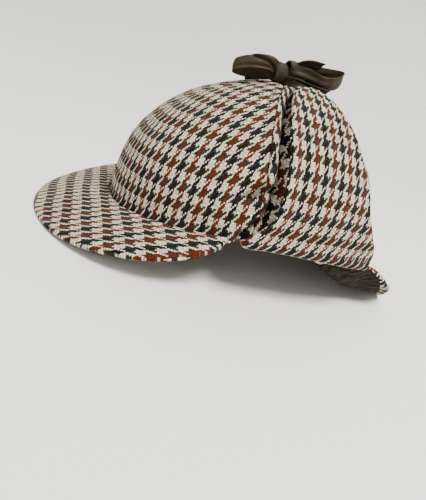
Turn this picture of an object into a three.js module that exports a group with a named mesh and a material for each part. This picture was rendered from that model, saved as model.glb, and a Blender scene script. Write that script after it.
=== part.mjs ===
// Tweed deerstalker hat: a dome of six gores, a peak at the front and one at the back, and two ear
// flaps turned up against the crown and tied over the top with a ribbon in a bow.
// Millimetres, +Z up. The wearer faces -Y, and +X is the wearer's left.
import * as THREE from 'three';

// Head oval at the crown's lower edge, measured on the outside of the cloth.
const crownHalfLength = 103;
const crownHalfWidth = 86;
const crownHeight = 90;
const crownWall = 2.6;
const crownLean = 5;
const rimArch = 17;
const rimArchPower = 1.37;
const domeSidePower = 2.87;
const domeTopPower = 1.39;
const gorePuff = 1.6;
const seamGap = 0.3;
const apexHole = 1.2;

// The two peaks: crescents of stiffened cloth under the crown's lower edge.
const peakHalfTurn = 73.4;
const frontPeakLength = 55;
const rearPeakLength = 57;
const peakThickness = 4.2;
const peakShapePower = 2.33;
const frontEndPower = 0.5;
const rearEndPower = 0.85;
const peakCamber = 2.2;
const peakEdgeShare = 0.25;
const peakInnerLean = 0.8;
const bendStart = 0.34;
const bendEnd = 0.66;
const bendSteps = 24;
const peakGap = 0.35;
const frontForwardShare = 0.4;
const rearForwardShare = 0.5;

// The lining that shows under the rear peak, inset from the edge that is turned over it.
const liningThickness = 0.8;
const liningGap = 0.8;
const liningInset = 8;
const liningEndShare = 0.82;
const liningInnerMiddle = 0.2;
const liningInnerEnd = 0.48;
const liningTurnFrom = 0.35;
const liningTurnTo = 0.6;

// Ear flaps, folded up. Each lies along a shell that is roomier than the crown by these amounts.
const flapWidth = 90;
const flapThickness = 4.4;
const flapGap = 0.5;
const flapFoldDepth = 9;
const flapFoldRows = 4;
const flapBackRoom = 23;
const flapSideRoom = 8;
const flapTopRoom = 6.5;
const flapLean = 4;
const flapColumns = 9;
const foldDrop = 4;
const foldOpenFrom = 0.3;
const foldOpenTo = 0.6;
const rightFlapReach = 0.74;
const rightFlapSkew = 20;

// Ribbon and bow on top.
const loopWidth = 11;
const tailWidth = 9;
const ribbonThickness = 1.1;
const knotWidth = 11;
const knotLength = 12;
const knotHeight = 14;
const knotPlace = [-0.5, 0, 97.4];
const knotSides = 14;
const knotSteps = 8;

// Where a peak rests, the cloth is pressed flat by this much, outside these shares of its length.
const restFlat = 1.8;
const frontFlatShare = 0.95;
const rearFlatShare = 0.97;

const tweed = { color: 0x8c8272, roughness: 0.95, metalness: 0 };
const liningCloth = { color: 0x3f3424, roughness: 0.8, metalness: 0 };
const ribbonCloth = { color: 0x4a3f2c, roughness: 0.6, metalness: 0 };

const radians = THREE.MathUtils.degToRad;
const lerp = THREE.MathUtils.lerp;

// Height of the crown's lower edge at a turn angle from the front: lowest at front and back.
function rimHeight(turn) {
  return -rimArch * Math.abs(Math.cos(turn)) ** rimArchPower;
}

// A point on the dome: climb runs from 0 at the lower edge to 1 at the top. Below 0 it goes
// straight down, in millimetres times -1, for the hem behind the peaks.
function domePoint(climb, turn) {
  const angle = Math.max(climb, 0) * Math.PI / 2;
  const spread = Math.cos(angle) ** (2 / domeTopPower);
  const rise = Math.sin(angle) ** (2 / domeSidePower);
  const base = rimHeight(turn);
  return new THREE.Vector3(
    crownHalfWidth * Math.sin(turn) * spread,
    -crownHalfLength * Math.cos(turn) * spread + crownLean * rise,
    base + (crownHeight - base) * rise + Math.min(climb, 0),
  );
}

function domeNormal(climb, turn) {
  const step = 0.004;
  const at = THREE.MathUtils.clamp(climb, step, 1 - 2 * step);
  const up = domePoint(at + step, turn).sub(domePoint(at - step, turn));
  const round = domePoint(at, turn + step).sub(domePoint(at, turn - step));
  return round.cross(up).normalize();
}

// A point that stands off the dome's smooth surface by a distance along its normal.
function offDome(climb, turn, distance) {
  return domePoint(climb, turn).addScaledVector(domeNormal(climb, turn), distance);
}

// A closed solid between two grids of points, with its four sides closed. Seen from outside, the
// grid's rows go up and its columns go to the right.
function gridSolid(rows, columns, outer, inner) {
  const positions = [];
  const faces = [];
  const perSide = (rows + 1) * (columns + 1);
  for (const side of [outer, inner]) {
    for (let row = 0; row <= rows; row += 1) {
      for (let column = 0; column <= columns; column += 1) {
        const point = side(row / rows, column / columns);
        positions.push(point.x, point.y, point.z);
      }
    }
  }
  const index = (side, row, column) => side * perSide + row * (columns + 1) + column;
  const quad = (p, q, r, s) => faces.push(p, q, r, p, r, s);
  for (let row = 0; row < rows; row += 1) {
    for (let column = 0; column < columns; column += 1) {
      quad(index(0, row, column), index(0, row, column + 1),
        index(0, row + 1, column + 1), index(0, row + 1, column));
      quad(index(1, row, column), index(1, row + 1, column),
        index(1, row + 1, column + 1), index(1, row, column + 1));
    }
    quad(index(0, row + 1, 0), index(1, row + 1, 0), index(1, row, 0), index(0, row, 0));
    quad(index(0, row, columns), index(1, row, columns),
      index(1, row + 1, columns), index(0, row + 1, columns));
  }
  for (let column = 0; column < columns; column += 1) {
    quad(index(0, 0, column + 1), index(0, 0, column), index(1, 0, column), index(1, 0, column + 1));
    quad(index(0, rows, column), index(0, rows, column + 1),
      index(1, rows, column + 1), index(1, rows, column));
  }
  const geometry = new THREE.BufferGeometry();
  geometry.setAttribute('position', new THREE.Float32BufferAttribute(positions, 3));
  geometry.setIndex(faces);
  return geometry;
}

function piece(name, geometry, finish) {
  const mesh = new THREE.Mesh(geometry, new THREE.MeshStandardMaterial(finish));
  mesh.name = name;
  return mesh;
}

// The bands of the bow. Each stop is a place, in millimetres from the middle of the crown's lower
// edge, and the direction of the band's width there.
const bands = [
  {
    name: 'bow_loop_front', width: loopWidth, steps: 24,
    stops: [
      { at: [1.2, -6.05, 97.5], wide: [-0.25, 0, 1] },
      { at: [2.5, -18, 97.4], wide: [-0.3, 0, 1] },
      { at: [1.5, -31, 95.2], wide: [-0.35, 0, 1] },
      { at: [-3.5, -36.5, 94], wide: [-0.4, 0, 1] },
      { at: [-8, -31, 95], wide: [-0.4, 0, 1] },
      { at: [-7, -18, 97], wide: [-0.35, 0, 1] },
      { at: [-2.4, -6.05, 97.3], wide: [-0.3, 0, 1] },
    ],
  },
  {
    name: 'bow_loop_rear', width: loopWidth, steps: 24,
    stops: [
      { at: [2.2, 6, 99.2], wide: [-0.3, 0, 1] },
      { at: [6.5, 18, 101], wide: [-0.3, 0, 1] },
      { at: [8.5, 32, 102], wide: [-0.3, 0, 1] },
      { at: [4, 43.5, 104], wide: [-0.25, 0, 1] },
      { at: [-2.5, 36, 104.4], wide: [-0.2, 0, 1] },
      { at: [-3.5, 20, 102.6], wide: [-0.2, 0, 1] },
      { at: [-2, 6, 99.4], wide: [-0.3, 0, 1] },
    ],
  },
  {
    name: 'bow_tail_upper', width: tailWidth, steps: 8,
    stops: [
      { at: [-0.3, 0.5, 105.2], wide: [1, 0, 0.1] },
      { at: [0.2, 11, 108.4], wide: [1, 0, 0.2] },
      { at: [1, 24, 111], wide: [1, 0, 0.3] },
    ],
  },
  {
    name: 'bow_tail_lower', width: tailWidth, steps: 10,
    stops: [
      { at: [0.5, 5, 92.1], wide: [1, 0, 0.2] },
      { at: [1.5, 18, 92.2], wide: [1, 0, 0.2] },
      { at: [3, 36, 92], wide: [1, 0, 0.3] },
    ],
  },
  {
    name: 'ribbon_left', width: tailWidth, steps: 8,
    stops: [
      { at: [25, 19, 91.8], wide: [-0.3, 0.95, 0] },
      { at: [15, 12, 94.9], wide: [-0.45, 0.9, 0] },
      { at: [6.6, 1.7, 96.4], wide: [-0.6, 0.8, 0.1] },
    ],
  },
  {
    name: 'ribbon_right', width: tailWidth, steps: 12,
    stops: [
      { at: [-50.5, -1, 81.2], wide: [-0.1, -0.98, 0] },
      { at: [-43, -2, 84.9], wide: [-0.2, -0.98, 0] },
      { at: [-31, -6, 87.2], wide: [-0.3, -0.95, 0] },
      { at: [-18, -6, 92], wide: [-0.3, -0.95, 0] },
      { at: [-6.4, -1.5, 96], wide: [-0.2, -0.97, 0.1] },
    ],
  },
];

// The same solid on the wearer's other side, with its faces turned to point outward again.
function mirrored(geometry) {
  const copy = geometry.clone();
  copy.scale(-1, 1, 1);
  const order = copy.getIndex().array;
  for (let i = 0; i < order.length; i += 3) {
    [order[i], order[i + 1]] = [order[i + 1], order[i]];
  }
  return copy;
}

// The same solid turned from the front of the hat to the back.
function reversed(geometry) {
  return geometry.rotateZ(Math.PI);
}

// Seams between the gores on one side: turn angle at the lower edge and at the top.
const seams = [
  { name: 'front', atRim: 0, atTop: 0 },
  { name: 'side', atRim: 80, atTop: 63 },
  { name: 'rear side', atRim: 124, atTop: 120 },
  { name: 'back', atRim: 180, atTop: 180 },
];

const gores = [
  { name: 'crown_front', from: 0, to: 1, columns: 9 },
  { name: 'crown_side', from: 1, to: 2, columns: 6 },
  { name: 'crown_back', from: 2, to: 3, columns: 7 },
];

const goreRows = 13;

function seamTurn(seam, climb) {
  return radians(lerp(seam.atRim, seam.atTop, THREE.MathUtils.clamp(climb, 0, 1)));
}

// Climb at which the dome has narrowed to the small hole that the gores leave at the top.
function topClimb() {
  const share = apexHole / crownHalfWidth;
  return Math.acos(share ** (domeTopPower / 2)) * 2 / Math.PI;
}

function goreGeometry(gore) {
  const hem = -peakThickness;
  const top = topClimb();
  const at = (depth) => (up, across) => {
    const climb = up === 0 ? hem : ((up * goreRows - 1) / (goreRows - 1)) * top;
    const spread = Math.cos(Math.max(climb, 0) * Math.PI / 2) ** (2 / domeTopPower);
    const edge = seamGap / 2 / (crownHalfWidth * spread);
    const start = seamTurn(seams[gore.from], climb) + edge;
    const end = seamTurn(seams[gore.to], climb) - edge;
    const turn = lerp(start, end, across);
    const swell = gorePuff * Math.sin(Math.PI * across) * Math.sin(Math.PI * Math.max(climb, 0)) ** 0.7;
    return offDome(climb, turn, swell - depth);
  };
  return gridSolid(goreRows, gore.columns, at(0), at(crownWall));
}

// How far a peak reaches at a share of its half turn, from -1 to 1.
function peakReach(peak, share) {
  return peak.length * Math.max(0, 1 - Math.abs(share) ** peakShapePower) ** peak.endPower;
}

// A value of a peak's table at a share of its half turn, eased between the rows.
function tableValue(rows, share, column) {
  const at = Math.abs(share);
  const next = rows.findIndex((row) => row.share >= at);
  const high = rows[Math.max(next, 1)];
  const low = rows[Math.max(next, 1) - 1];
  const part = THREE.MathUtils.smoothstep(at, low.share, high.share);
  return lerp(low[column], high[column], part);
}

// The line of a peak's top from the crown outward: distance out, height, and the slope there. The
// slope eases from its inner value to its outer one across the bend.
function peakLine(peak, share, out) {
  const inner = radians(tableValue(peak.rows, share, 'inner'));
  const outer = radians(tableValue(peak.rows, share, 'outer'));
  const reach = peakReach(peak, share) * out;
  const slopeAt = (part) => lerp(inner, outer, THREE.MathUtils.smoothstep(part, bendStart, bendEnd));
  let along = 0;
  let down = 0;
  for (let step = 0; step < bendSteps; step += 1) {
    const slope = slopeAt(((step + 0.5) / bendSteps) * out);
    along += (reach / bendSteps) * Math.cos(slope);
    down += (reach / bendSteps) * Math.sin(slope);
  }
  return { along, down, slope: slopeAt(out) };
}

// A point on a peak: out is 0 at the crown and 1 at the edge, and below is the depth under the
// peak's top. The direction is a blend of straight out from the oval and straight ahead.
function peakPoint(peak, share, out, below = 0) {
  const turn = share * radians(peakHalfTurn);
  const outward = new THREE.Vector2(Math.sin(turn) / crownHalfWidth, -Math.cos(turn) / crownHalfLength);
  outward.normalize();
  const way = outward.clone().multiplyScalar(1 - peak.forwardShare);
  way.y -= peak.forwardShare;
  way.normalize();
  const line = peakLine(peak, share, out);
  const camber = peakCamber * Math.sin(Math.PI * out) * Math.sqrt(Math.max(0, 1 - share * share));
  const lean = Math.sin(line.slope) * Math.min(1, out / peakEdgeShare);
  const along = line.along - Math.min(lean * below, peakInnerLean * line.along);
  const x = crownHalfWidth * Math.sin(turn) + outward.x * peakGap + way.x * along;
  const y = -crownHalfLength * Math.cos(turn) + outward.y * peakGap + way.y * along;
  const z = rimHeight(turn) - line.down + camber - below * lerp(1, Math.cos(line.slope), Math.abs(lean));
  return new THREE.Vector3(x, y, z);
}

const peakColumns = 30;
const peakEndShare = 0.985;

// Slopes of the peaks in degrees below level, at the crown and at the edge, by share of the half
// turn from the middle. The rear peak's ends are turned up and tucked in behind the ear flaps.
const frontPeak = {
  length: frontPeakLength,
  cuts: 6,
  endPower: frontEndPower,
  flatShare: frontFlatShare,
  forwardShare: frontForwardShare,
  rows: [
    { share: 0, inner: 18.5, outer: 18.5 },
    { share: 0.6, inner: 22, outer: 22 },
    { share: 1, inner: 25, outer: 25 },
  ],
};

const rearPeak = {
  length: rearPeakLength,
  cuts: 12,
  endPower: rearEndPower,
  flatShare: rearFlatShare,
  forwardShare: rearForwardShare,
  rows: [
    { share: 0, inner: 36, outer: 34 },
    { share: 0.3, inner: 44, outer: 26 },
    { share: 0.5, inner: 58, outer: -18 },
    { share: 0.68, inner: 70, outer: -76 },
    { share: 1, inner: 74, outer: -82 },
  ],
};

function peakGeometry(peak) {
  const at = (below) => (up, across) => {
    const share = lerp(-peakEndShare, peakEndShare, across);
    const out = up === 0 ? 1 : lerp(peak.flatShare, 0, (up * peak.cuts - 1) / (peak.cuts - 1));
    return peakPoint(peak, share, out, below);
  };
  return gridSolid(peak.cuts, peakColumns, at(0), at(peakThickness));
}

// The lining panel lies under a peak and stops short of the edge that is turned over it.
function liningGeometry(peak) {
  const at = (below) => (up, across) => {
    const share = lerp(-liningEndShare, liningEndShare, across);
    const edge = 1 - liningInset / peakReach(peak, share);
    const toEnd = THREE.MathUtils.smoothstep(Math.abs(share), liningTurnFrom, liningTurnTo);
    const inner = lerp(liningInnerMiddle, liningInnerEnd, toEnd);
    return peakPoint(peak, share, lerp(edge, inner, up), below);
  };
  const top = peakThickness + liningGap;
  return gridSolid(peak.cuts, peakColumns, at(top), at(top + liningThickness));
}

// The smooth shell that a turned-up flap lies along: roomier than the crown, mostly at the back.
const flapShell = {
  halfLength: crownHalfLength + flapBackRoom,
  halfWidth: crownHalfWidth + flapSideRoom,
  height: crownHeight + flapTopRoom,
  lean: crownLean + flapLean,
  arch: 0,
};

const crownShell = {
  halfLength: crownHalfLength,
  halfWidth: crownHalfWidth,
  height: crownHeight,
  lean: crownLean,
  arch: rimArch,
};

// Below 0 inside a dome-shaped shell, above 0 outside it.
function shellField(size, x, y, z) {
  const base = -size.arch * Math.min(1, Math.abs(y) / size.halfLength) ** rimArchPower;
  const rise = Math.min(1.2, Math.max(0, (z - base) / (size.height - base)));
  const back = (y - size.lean * Math.min(1, rise)) / size.halfLength;
  const spread = Math.hypot(x / size.halfWidth, back);
  return spread ** domeTopPower + rise ** domeSidePower - 1;
}

// Distance from the hat's long axis to a shell, in the cross-section at y, at an angle above level.
function shellRadius(size, y, angle) {
  let low = 0;
  let high = 2 * size.halfLength;
  for (let step = 0; step < 40; step += 1) {
    const middle = (low + high) / 2;
    const value = shellField(size, middle * Math.cos(angle), y, middle * Math.sin(angle));
    if (value < 0) low = middle;
    else high = middle;
  }
  return low;
}

// Height of a flap's lower fold, which follows the crown's lower edge.
function foldHeight(x, y) {
  return rimHeight(Math.atan2(x / crownHalfWidth, -y / crownHalfLength)) - foldDrop;
}

// The outline of a flap from its lower fold to its tip: angle above level seen from the front, and
// its front and rear edges as shares of the flap's width, measured from the middle of the hat. The
// tucked peak behind it pushes its rear edge out by a share of the flap's width.
const flapRows = [
  { angle: 0, front: -0.24, rear: 0.89, push: 0.12 },
  { angle: 0, front: -0.31, rear: 0.905, push: 0.12 },
  { angle: 6, front: -0.25, rear: 0.84, push: 0.11 },
  { angle: 12, front: -0.14, rear: 0.755, push: 0.085 },
  { angle: 21, front: -0.125, rear: 0.66, push: 0.05 },
  { angle: 31, front: -0.13, rear: 0.62, push: 0.02 },
  { angle: 41, front: -0.13, rear: 0.57, push: 0 },
  { angle: 51, front: -0.11, rear: 0.53, push: 0 },
  { angle: 61, front: -0.08, rear: 0.49, push: 0 },
  { angle: 70, front: -0.02, rear: 0.45, push: 0 },
  { angle: 78, front: 0.06, rear: 0.4, push: 0 },
  { angle: 83, front: 0.14, rear: 0.31, push: 0 },
];

// A flap's reach is the share of its rows' angles that it climbs, and its skew is how far its tip is
// pulled forward.
function flapGeometry(reach, skew) {
  const last = flapRows.length - 1;
  const highest = flapRows[last].angle;
  const at = (depth, foldDepth) => (up, across) => {
    const place = Math.round(up * last);
    const row = flapRows[place];
    const y = lerp(row.front, row.rear, across) * flapWidth - skew * (row.angle / highest) ** 2;
    const fold = THREE.MathUtils.smoothstep(place, 0, flapFoldRows);
    const angle = radians(row.angle) * reach;
    const nearest = shellRadius(crownShell, y, angle) + gorePuff + flapGap;
    const push = row.push * flapWidth * across * across;
    const outerRadius = Math.max(shellRadius(flapShell, y, angle), nearest + flapThickness) + push;
    const open = Math.max(fold, THREE.MathUtils.smoothstep(across, foldOpenFrom, foldOpenTo));
    const radius = Math.max(outerRadius - lerp(foldDepth, depth, open), nearest);
    const point = new THREE.Vector3(radius * Math.cos(angle), y, radius * Math.sin(angle));
    if (place === 0) point.z = foldHeight(point.x, y);
    return point;
  };
  return gridSolid(last, flapColumns, at(0, 0), at(flapThickness, flapFoldDepth));
}

// A flat band along a smooth path. Each stop has a place and the direction of the band's width.
function bandGeometry(stops, width, thickness, steps) {
  const path = new THREE.CatmullRomCurve3(stops.map((stop) => new THREE.Vector3(...stop.at)));
  const wide = new THREE.CatmullRomCurve3(stops.map((stop) => new THREE.Vector3(...stop.wide)));
  const at = (lift) => (up, across) => {
    const along = path.getTangent(up);
    const side = wide.getPoint(up);
    side.addScaledVector(along, -side.dot(along)).normalize();
    const out = side.clone().cross(along);
    return path.getPoint(up).addScaledVector(side, (across - 0.5) * width).addScaledVector(out, lift);
  };
  return gridSolid(steps, 2, at(thickness / 2), at(-thickness / 2));
}

// The knot is a rounded barrel: a closed turned profile, squeezed to the knot's three sizes.
function knotGeometry() {
  const profile = [];
  for (let step = 0; step <= knotSteps; step += 1) {
    const angle = Math.PI * (step / knotSteps - 0.5);
    const x = step === 0 || step === knotSteps ? 0 : Math.cos(angle) ** 0.7;
    profile.push(new THREE.Vector2(x, Math.sin(angle)));
  }
  const knot = new THREE.LatheGeometry(profile, knotSides);
  knot.rotateX(Math.PI / 2);
  knot.scale(knotWidth / 2, knotLength / 2, knotHeight / 2);
  knot.translate(...knotPlace);
  return knot;
}

// The hat is tipped so that both peaks come down to one level, and there the cloth is pressed flat.
const frontLow = peakPoint(frontPeak, 0, 1, peakThickness);
const rearLow = peakPoint(rearPeak, 0, 1, peakThickness);
const tip = Math.atan((rearLow.z - frontLow.z) / (frontLow.y + rearLow.y));
const floor = frontLow.y * Math.sin(tip) + frontLow.z * Math.cos(tip) + restFlat;

function settled(geometry) {
  return geometry.rotateX(tip).translate(0, 0, -floor);
}

function pressedFlat(geometry) {
  const positions = settled(geometry).getAttribute('position');
  for (let i = 0; i < positions.count; i += 1) {
    positions.setZ(i, Math.max(0, positions.getZ(i)));
  }
  return geometry;
}

const hat = new THREE.Group();
const crown = new THREE.Group();
const peaks = new THREE.Group();
const flaps = new THREE.Group();
const bow = new THREE.Group();

for (const gore of gores) {
  const left = settled(goreGeometry(gore));
  crown.add(piece(`${gore.name}_left`, left, tweed));
  crown.add(piece(`${gore.name}_right`, mirrored(left), tweed));
}

peaks.add(piece('front_peak', pressedFlat(peakGeometry(frontPeak)), tweed));
peaks.add(piece('rear_peak', pressedFlat(reversed(peakGeometry(rearPeak))), tweed));
peaks.add(piece('rear_peak_lining', settled(reversed(liningGeometry(rearPeak))), liningCloth));

flaps.add(piece('ear_flap_left', settled(flapGeometry(1, 0)), tweed));
flaps.add(piece('ear_flap_right', settled(mirrored(flapGeometry(rightFlapReach, rightFlapSkew))), tweed));

for (const band of bands) {
  const geometry = bandGeometry(band.stops, band.width, ribbonThickness, band.steps);
  bow.add(piece(band.name, settled(geometry), ribbonCloth));
}
bow.add(piece('bow_knot', settled(knotGeometry()), ribbonCloth));

hat.add(crown, peaks, flaps, bow);

// The middle of the hat's underside is the origin.
const bounds = new THREE.Box3().setFromObject(hat);
const middle = bounds.getCenter(new THREE.Vector3());
hat.traverse((node) => {
  if (node.isMesh) node.geometry.translate(-middle.x, -middle.y, -bounds.min.z);
});

export default hat;
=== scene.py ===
"""Looks of a tweed deerstalker hat: six gores, two peaks, turned-up ear flaps and a ribbon bow."""

import logging
import math
from collections.abc import Callable, Sequence
from dataclasses import dataclass
from enum import Enum

import bmesh
import bpy
from mathutils import Matrix, Vector, noise


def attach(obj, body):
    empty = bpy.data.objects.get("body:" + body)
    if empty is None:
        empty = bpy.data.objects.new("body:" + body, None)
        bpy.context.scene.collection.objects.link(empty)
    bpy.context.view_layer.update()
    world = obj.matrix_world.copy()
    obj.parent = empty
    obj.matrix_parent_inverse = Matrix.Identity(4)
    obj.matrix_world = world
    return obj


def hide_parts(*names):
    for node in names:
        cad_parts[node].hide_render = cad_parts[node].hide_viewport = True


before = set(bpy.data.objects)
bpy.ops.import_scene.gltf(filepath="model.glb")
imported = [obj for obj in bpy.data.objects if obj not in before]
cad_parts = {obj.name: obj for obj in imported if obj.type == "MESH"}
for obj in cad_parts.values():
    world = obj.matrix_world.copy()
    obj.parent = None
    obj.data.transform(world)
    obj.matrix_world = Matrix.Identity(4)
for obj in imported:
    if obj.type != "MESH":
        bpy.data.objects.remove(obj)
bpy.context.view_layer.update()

log = logging.getLogger("deerstalker")

Point = Callable[[float, float], Vector]
Cloth = Callable[[float, float], tuple[float, float]]
Colour = tuple[float, float, float]
# Half length, half width, height, lean and arch of a dome.
Room = tuple[float, float, float, float, float]

MM = 0.001
# To rest on its two peaks, the upright hat tips forward by TIP and then moves by SHIFT, in metres.
TIP = math.radians(2.826842)
SHIFT = Vector((0.0, 0.00065804, 0.04433954))
FLOOR_GAP = 0.2 * MM


def lerp(a: float, b: float, t: float) -> float:
    """Blend from a to b."""
    return a + (b - a) * t


def clamp(value: float, low: float = 0.0, high: float = 1.0) -> float:
    """Keep a value between two limits."""
    return max(low, min(high, value))


def smoothstep(value: float, low: float, high: float) -> float:
    """Ease from 0 at low to 1 at high."""
    t = clamp((value - low) / (high - low))
    return t * t * (3 - 2 * t)


def bell(value: float, middle: float, width: float) -> float:
    """A smooth bump of height 1 round a middle."""
    return math.exp(-(((value - middle) / width) ** 2))


def to_part(point: Vector) -> Vector:
    """Place a point of the upright hat, in metres, in the part's frame, where the hat is tipped to rest."""
    c, s = math.cos(TIP), math.sin(TIP)
    return Vector((point.x, point.y * c - point.z * s, point.y * s + point.z * c)) + SHIFT


def table(rows: Sequence[tuple[float, ...]], at: float, column: int) -> float:
    """Read a table smoothly.

    Args:
        rows: rows that start with their place, in rising order.
        at: the place to read.
        column: which column to read.

    Returns:
        The value there, on a monotone cubic through the rows.
    """
    last = len(rows) - 1
    k = 0
    while k < last - 1 and rows[k + 1][0] <= at:
        k += 1

    def slope(i: int) -> float:
        left = (rows[i][column] - rows[i - 1][column]) / (rows[i][0] - rows[i - 1][0]) if i > 0 else None
        right = (rows[i + 1][column] - rows[i][column]) / (rows[i + 1][0] - rows[i][0]) if i < last else None
        if left is None or right is None:
            return (left if right is None else right) or 0.0
        if left * right <= 0:
            return 0.0
        return 2 * left * right / (left + right)

    x0, x1 = rows[k][0], rows[k + 1][0]
    h = x1 - x0
    t = clamp((at - x0) / h)
    a, b = rows[k][column], rows[k + 1][column]
    return (
        a * (1 + 2 * t) * (1 - t) ** 2
        + h * slope(k) * t * (1 - t) ** 2
        + b * t * t * (3 - 2 * t)
        + h * slope(k + 1) * t * t * (t - 1)
    )


class Graph:
    """A small helper that adds shader nodes and links them."""

    def __init__(self, name: str) -> None:
        """Start a material with only its shader and output."""
        self.material = bpy.data.materials.new(name)
        self.material.use_nodes = True
        self.tree = self.material.node_tree
        self.shader = self.tree.nodes["Principled BSDF"]

    def put(self, socket: bpy.types.NodeSocket, value: object) -> None:
        """Give an input a value or a link."""
        if isinstance(value, bpy.types.NodeSocket):
            self.tree.links.new(value, socket)
        else:
            socket.default_value = value

    def node(self, kind: str, **settings: object) -> bpy.types.Node:
        """Add a node and set its properties."""
        made = self.tree.nodes.new(kind)
        for key, value in settings.items():
            setattr(made, key, value)
        return made

    def math(self, operation: str, *values: object) -> bpy.types.NodeSocket:
        """Add a Math node and return its output."""
        made = self.node("ShaderNodeMath", operation=operation)
        for socket, value in zip(made.inputs, values):
            self.put(socket, value)
        return made.outputs[0]

    def mix(self, share: object, a: object, b: object, blend: str = "MIX") -> bpy.types.NodeSocket:
        """Mix two colours and return the result."""
        made = self.node("ShaderNodeMix", data_type="RGBA", blend_type=blend)
        for socket, value in ((made.inputs[0], share), (made.inputs[6], a), (made.inputs[7], b)):
            self.put(socket, value if isinstance(value, (bpy.types.NodeSocket, float)) else (*value, 1.0))
        return made.outputs[2]

    def noise(self, scale: float, detail: float) -> bpy.types.NodeSocket:
        """Add a Noise Texture on the Object coordinates."""
        made = self.node("ShaderNodeTexNoise")
        made.inputs["Scale"].default_value = scale
        made.inputs["Detail"].default_value = detail
        self.put(made.inputs["Vector"], self.node("ShaderNodeTexCoord").outputs["Object"])
        return made.outputs["Fac"]

    def wander(self, scale: float, detail: float, size: float) -> bpy.types.NodeSocket:
        """A noise round 0, as high as its size."""
        return self.math("MULTIPLY", self.math("SUBTRACT", self.noise(scale, detail), 0.5), size)

    def cloth(self) -> bpy.types.NodeSocket:
        """The piece's own cloth coordinates, in metres, from its UV map."""
        return self.node("ShaderNodeUVMap", uv_map="cloth").outputs[0]

    def steps(
        self, share: bpy.types.NodeSocket, colours: Sequence[Colour], starts: Sequence[float],
    ) -> bpy.types.NodeSocket:
        """Pick one of several colours by a share from 0 to 1, each from its own start on."""
        made = self.node("ShaderNodeValToRGB")
        ramp = made.color_ramp
        ramp.interpolation = "CONSTANT"
        while len(ramp.elements) < len(colours):
            ramp.elements.new(0.5)
        for k, start in enumerate(starts):
            ramp.elements[k].position = start
        for k, colour in enumerate(colours):
            ramp.elements[k].color = (*colour, 1.0)
        self.put(made.inputs[0], share)
        return made.outputs[0]

    def bump(self, height: bpy.types.NodeSocket, distance: float, strength: float) -> None:
        """Send a height to the shader's normal."""
        made = self.node("ShaderNodeBump")
        made.inputs["Distance"].default_value = distance
        made.inputs["Strength"].default_value = strength
        self.put(made.inputs["Height"], height)
        self.put(self.shader.inputs["Normal"], made.outputs[0])


class Yarn(Enum):
    """Yarn colours, in linear light."""

    CREAM = (0.70, 0.625, 0.485)
    RUST = (0.145, 0.026, 0.011)
    DARK = (0.015, 0.009, 0.011)
    TEAL = (0.027, 0.041, 0.040)
    OLIVE = (0.047, 0.040, 0.015)


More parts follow.
